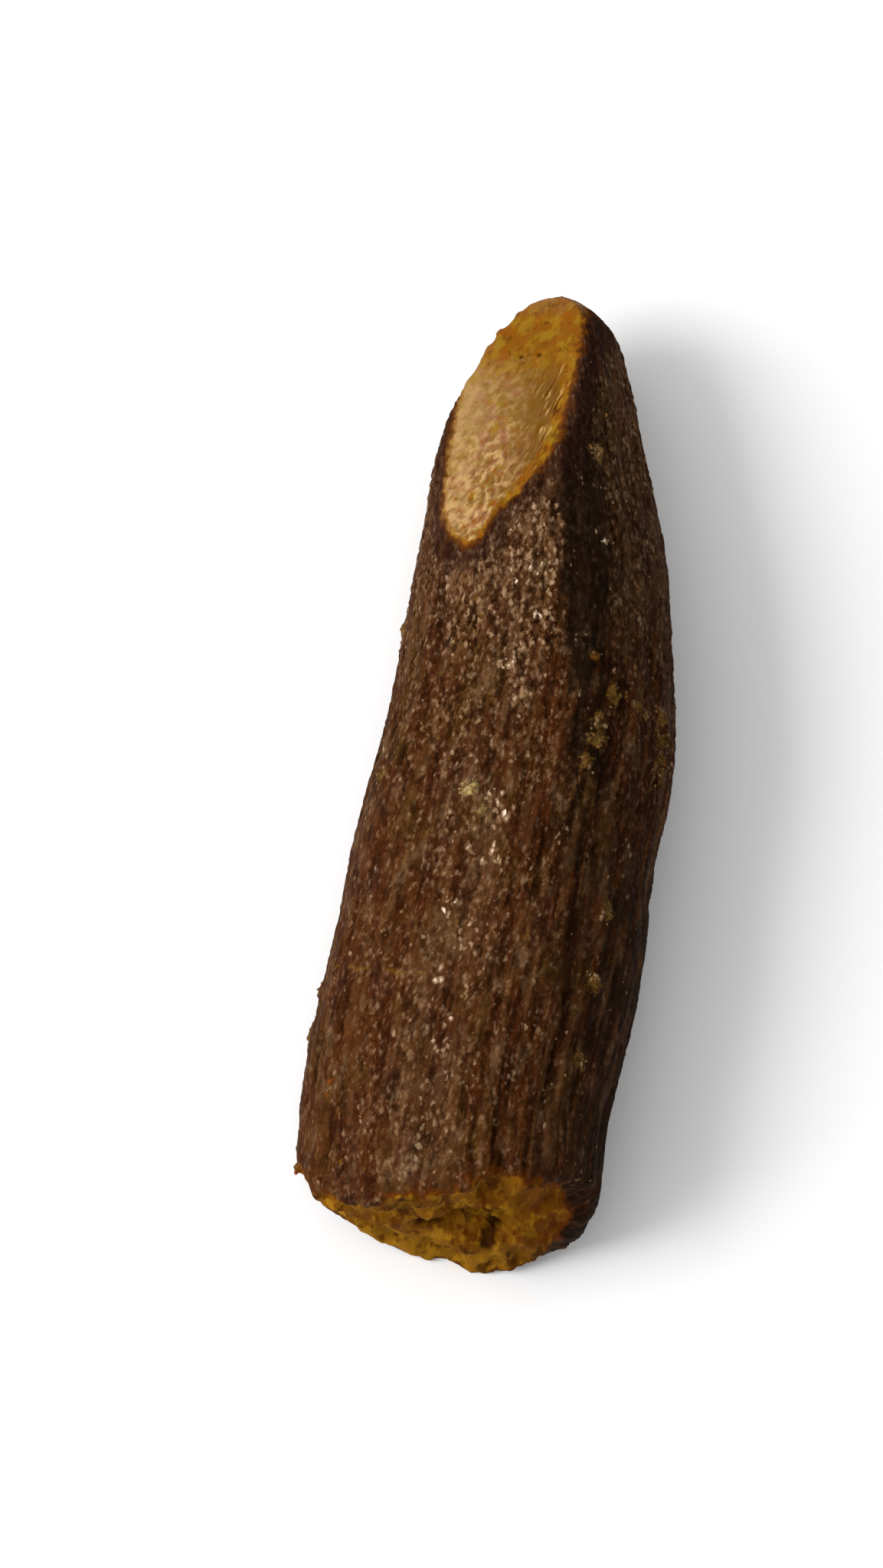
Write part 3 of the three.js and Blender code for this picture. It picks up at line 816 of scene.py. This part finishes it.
SAND_CLUMPS = [  # turn round the tooth in degrees, y, spread, number of grains, their radius, warmth
    (61, 10.5, 0.3, 6, 0.08, 0.1),
    (64, 2.6, 0.18, 2, 0.07, 0.75),
    (59, 0.3, 0.28, 4, 0.08, 0.3),
    (60, -0.4, 0.3, 5, 0.08, 0.3),
    (62, -1.2, 0.25, 2, 0.08, 0.5),
    (52, 1.4, 0.3, 3, 0.06, 0.5),
    (46, 1.5, 0.15, 4, 0.06, 0.8),
    (40, 1.3, 0.15, 4, 0.06, 0.4),
    (35, 1.2, 0.15, 4, 0.06, 0.3),
    (23, 1.3, 0.3, 4, 0.06, 0.6),
    (22, 0.6, 0.3, 4, 0.06, 0.5),
    (21, -0.1, 0.3, 4, 0.06, 0.7),
    (21, -0.7, 0.25, 4, 0.06, 0.6),
    (108, -2.8, 0.22, 3, 0.09, -0.4),
    (101, -3.5, 0.2, 2, 0.08, -0.2),
    (38, -6.2, 0.25, 6, 0.08, 0.3),
    (39, -8.7, 0.28, 7, 0.08, 0.4),
    (37, -11.5, 0.25, 5, 0.07, 0.6),
    (154, -1.9, 0.25, 6, 0.07, 0.6),
    (148, -13.2, 0.1, 2, 0.07, 1.0),
    (148, -13.6, 0.1, 2, 0.07, 1.0),
    (180, 4.1, 0.25, 5, 0.07, 0.4),
    (181, -9.3, 0.25, 5, 0.07, 0.5),
    (182, -10.9, 0.35, 8, 0.08, 0.4),
    (184, -15.5, 0.35, 8, 0.08, 0.4),
    (228, -7.5, 0.35, 8, 0.08, 0.3),
    (305, 1.0, 0.35, 8, 0.08, 0.5),
    (334, -4.5, 0.3, 7, 0.08, 0.3),
]
CRUST_EDGE = (2.4, 0.2)  # distance from a clump, in spreads, at which its crust starts, and is full
CRUST_RAGGED = 0.7
CRUST_HEIGHT = 0.08
CRUST_LUMP = 0.22
GRIT = 0.13
FRAY = 0.15

CRUST_PALE = 0xB09A62
CRUST_CREAM = 0x86693C
CRUST_OCHRE = 0x6E4E1A
CRUST_ORANGE = 0x7E3C0C
CRUST_GAP = 0x38220C
CRUST_LAYERS = [  # colour, what places it, the values at which it starts and is full, strength
    (CRUST_PALE, "warmth", 0.3, 0.05, 1.0),
    (CRUST_OCHRE, "warmth", 0.5, 0.9, 1.0),
    (CRUST_ORANGE, "warmth", 1.1, 1.4, 1.0),
    (CRUST_GAP, "grit", 0.52, 0.38, 0.85),
]

clump = np.array(SAND_CLUMPS)
away_round = (turn_of[:, None] - clump[:, 0] + 180) % 360 - 180
away_round = np.radians(away_round) * GRAIN_RADIUS
away_share = np.hypot(away_round, grain[:, 2:] - clump[:, 1]) / clump[:, 2]
ragged = CRUST_RAGGED * noise_at(grain, (0.35, 0.35, 0.6), 83)
crust_in = ease(away_share.min(1) + ragged, *CRUST_EDGE)
keep(crust_in=crust_in, crust_warmth=clump[away_share.argmin(1), 5])

for name, size in (("crust_fray", FRAY), ("grit", GRIT)):
    clouds = {"Vector": places["tooth"], "Scale": 1 / size, "Detail": 3.0, "Roughness": 0.6}
    values[name] = add(tree, "ShaderNodeTexNoise", clouds).outputs["Fac"]
for name, share, base in (("warmth", 0.8, "crust_warmth"), ("crust_edge", 2.0, "crust_in")):
    parts = {0: values["crust_fray"], 1: share, 2: values[base]}
    values[name] = add(tree, "ShaderNodeMath", parts, operation="MULTIPLY_ADD").outputs[0]

crust = lay_over(CRUST_CREAM, CRUST_LAYERS)

# --- The tooth joined -------------------------------------------------------------------------
# The ball of rings takes the places found above, is eased a little, gets the relief and is kept flat
# where it lies on the table. Enamel, dentine and root meet in one mineral skin.

APATITE_IOR = 1.6  # of the mineral that enamel and dentine turn to, which measures about 1.63
SHEEN_LEVEL = 0.01  # dust and fine wear keep all but the bare crests from shining
COAT_ROUGHNESS = 0.2  # of the bare crests, whose gloss is a clear coat
BUMP_DEPTH = 0.05  # of the grit that is finer than the skin's points, in millimetres
BUMP_STRENGTH = 0.45
FACET_SEAM = (-0.06, 0.1)  # distance inside the facet's border over which its relief comes in
BREAK_SEAM = (-0.25, 0.2)  # and the break's
EASING = 2  # times that every point moves halfway to the middle of its neighbours

on_facet = ease(facet_in, *FACET_SEAM)
on_break = ease(break_in, *BREAK_SEAM)
enamel_relief += CRUST_HEIGHT * crust_in * (1 + 2 * noise_at(grain, CRUST_LUMP, 89))
relief = enamel_relief * (1 - on_facet) + dentine_relief * on_facet
relief = relief * (1 - on_break) + (crumbs + hollow_relief) * on_break

skin_shape = bmesh.new()
bmesh.ops.create_uvsphere(skin_shape, u_segments=COLUMNS, v_segments=RINGS, radius=1)
numbers = []
for vert in skin_shape.verts:
    ring = round(math.acos(max(-1, min(1, -vert.co.z))) / math.pi * RINGS)
    column = round(math.atan2(vert.co.y, vert.co.x) / (2 * math.pi) * COLUMNS) % COLUMNS
    numbers.append(ring * COLUMNS + column)
for vert, number in zip(skin_shape.verts, numbers):
    vert.co = Vector(flat_skin[number])
for _ in range(EASING):
    bmesh.ops.smooth_vert(
        skin_shape, verts=skin_shape.verts, factor=0.5, use_axis_x=True, use_axis_y=True, use_axis_z=True
    )
if skin_shape.calc_volume(signed=True) < 0:
    bmesh.ops.reverse_faces(skin_shape, faces=skin_shape.faces)
skin_shape.normal_update()
for vert, number in zip(skin_shape.verts, numbers):
    vert.co += vert.normal * relief[number]
    vert.co.z = max(vert.co.z, 0)
skin_shape.normal_update()
skin_tree = BVHTree.FromBMesh(skin_shape)
bmesh.ops.scale(skin_shape, vec=Vector((MM, MM, MM)), verts=skin_shape.verts)
for face in skin_shape.faces:
    face.smooth = True

tooth_mesh = bpy.data.meshes.new("fossil_tooth")
skin_shape.to_mesh(tooth_mesh)
skin_shape.free()
tooth = bpy.data.objects.new("fossil_tooth", tooth_mesh)
scene.collection.objects.link(tooth)

for name, kept in kept_at_points.items():
    kind, field = ("FLOAT", "value") if kept.ndim == 1 else ("FLOAT_VECTOR", "vector")
    attribute = tooth_mesh.attributes.new(name, kind, "POINT")
    attribute.data.foreach_set(field, kept[numbers].astype(np.float32).ravel())

colour = lay_over(enamel, [
    (crust, "crust_edge", 1.4, 2.0, 0.75),
    (FACET_BRUISE, "facet_edge", -1.1, 0.1, 0.65),
    (DENTINE_RUST, "facet_edge", 0.13, 0.27, 0.7),
    (dentine, "facet_edge", 0.25, 0.37, 1.0),
    (ROOT_RUST, "break_edge", 0.4, 0.8, 1.0),
    (root, "break_edge", 0.72, 1.02, 1.0),
])
for name, start, full, finish, height in (
    ("facet_edge", 0.25, 0.45, DENTINE_ROUGHNESS, values["mottle"]),
    ("break_edge", 0.7, 0.9, BREAK_ROUGHNESS, values["grit"]),
):
    limits = {"Value": values[name], "From Min": start, "From Max": full}
    cover = add(tree, "ShaderNodeMapRange", limits).outputs["Result"]
    dull = add(tree, "ShaderNodeMix", {0: cover, 2: dull, 3: finish}).outputs[0]
    glassy = add(tree, "ShaderNodeMix", {0: cover, 2: glassy, 3: 0.0}).outputs[0]
    fine_relief = add(tree, "ShaderNodeMix", {0: cover, 2: fine_relief, 3: height}).outputs[0]
bump = {"Height": fine_relief, "Strength": BUMP_STRENGTH, "Distance": BUMP_DEPTH * MM}
bump = add(tree, "ShaderNodeBump", bump)
tree.links.new(colour, surface.inputs["Base Color"])
tree.links.new(dull, surface.inputs["Roughness"])
tree.links.new(bump.outputs["Normal"], surface.inputs["Normal"])
tree.links.new(glassy, surface.inputs["Coat Weight"])
surface.inputs["Coat Roughness"].default_value = COAT_ROUGHNESS
surface.inputs["Coat IOR"].default_value = APATITE_IOR
surface.inputs["IOR"].default_value = APATITE_IOR
surface.inputs["Specular IOR Level"].default_value = SHEEN_LEVEL
tooth_mesh.materials.append(fossil)

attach(tooth, "root")
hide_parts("tooth")

# --- Sand grains ------------------------------------------------------------------------------
# Grains of the bed's quartz sand still stick in the wrinkles: some cemented in small clumps, most
# of them single. Quartz is clear to milky, and iron stains it cream, ochre or orange.

SINGLE_GRAINS = 70
SINGLE_RADIUS = (0.035, 0.085)
SINGLE_ENDS = (3, 2)  # how far from the root's end and from the tip the last of them lie
SAND_SEED = 7
GRAIN_GROWTH = (0.5, 1.5)  # shares of its radius between which a grain's own is drawn
GRAIN_LENGTH = (0.6, 1.3)  # and shares of that which its length, width and thickness are
GRAIN_WIDTH = (0.7, 1.3)
GRAIN_FLATNESS = 0.75
GRAIN_TURN = 6  # radians by which its own shade, from 0 to 1, turns it
SINK = 0.05  # how far under the skin a grain's middle lies, in its own radii
LOWEST_GRAIN = 0.6  # height over the table under which no grain sticks

SAND_CREAM = 0x6E5434
SAND_OCHRE = 0x6C4C1A
SAND_ORANGE = 0x7C3A10
SAND_BROWN = 0x5E4426
SAND_LAYERS = [(SAND_OCHRE, 0.5, 0.7), (SAND_ORANGE, 0.9, 0.95), (SAND_BROWN, 0.3, 0.1)]  # by shade
SAND_ROUGHNESS = 0.6  # the bed's water frosted the quartz, so it is duller than a clean crystal
SAND_SHEEN_LEVEL = 0.25

drawn = random.Random(SAND_SEED)
grain_spots = [
    (math.radians(turn) + drawn.gauss(0, spread / GRAIN_RADIUS), y + drawn.gauss(0, spread), radius)
    for turn, y, spread, count, radius, _ in SAND_CLUMPS
    for _ in range(int(count))
]
grain_spots += [
    (
        drawn.uniform(0, 2 * math.pi),
        drawn.uniform(root_y + SINGLE_ENDS[0], tip_y - SINGLE_ENDS[1]),
        drawn.uniform(*SINGLE_RADIUS),
    )
    for _ in range(SINGLE_GRAINS)
]
sand_shape = bmesh.new()
shade_layer = sand_shape.verts.layers.float.new("shade")
for turn, y, radius in grain_spots:
    start = Vector((middle_x(y), y, middle_z(y)))
    place, normal, _ = cast(skin_tree, start, math.pi / 2, turn)
    shade = drawn.random()
    radius *= drawn.uniform(*GRAIN_GROWTH)
    if place.z < LOWEST_GRAIN or (place - FACET_POINT).dot(facet_up) > -FACET_DEPTH:
        continue  # none sticks under the tooth or on its polished facet
    stretch = (drawn.uniform(*GRAIN_LENGTH), drawn.uniform(*GRAIN_WIDTH), GRAIN_FLATNESS, 1)
    turned = Matrix.Rotation(drawn.uniform(0, math.pi), 4, "X")
    turned = turned @ Matrix.Rotation(shade * GRAIN_TURN, 4, "Y")
    seat = Matrix.Translation((place - normal * radius * SINK) * MM)
    grown = bmesh.ops.create_icosphere(
        sand_shape, subdivisions=1, radius=radius * MM, matrix=seat @ turned @ Matrix.Diagonal(stretch)
    )
    for vert in grown["verts"]:
        vert[shade_layer] = shade
sand_mesh = bpy.data.meshes.new("sand_grains")
sand_shape.to_mesh(sand_mesh)
sand_shape.free()
sand = bpy.data.objects.new("sand_grains", sand_mesh)
scene.collection.objects.link(sand)

quartz = bpy.data.materials.new("iron_stained_quartz_sand")
quartz.use_nodes = True
tree = quartz.node_tree
surface = tree.nodes["Principled BSDF"]
shade = add(tree, "ShaderNodeAttribute", attribute_name="shade").outputs["Fac"]
colour = linear(SAND_CREAM)
for tint, start, full in SAND_LAYERS:
    cover = add(tree, "ShaderNodeMapRange", {"Value": shade, "From Min": start, "From Max": full})
    colour = {0: cover.outputs["Result"], 6: colour, 7: linear(tint)}
    colour = add(tree, "ShaderNodeMix", colour, data_type="RGBA").outputs[2]
tree.links.new(colour, surface.inputs["Base Color"])
surface.inputs["Roughness"].default_value = SAND_ROUGHNESS
surface.inputs["Specular IOR Level"].default_value = SAND_SHEEN_LEVEL
sand_mesh.materials.append(quartz)

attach(sand, "root")
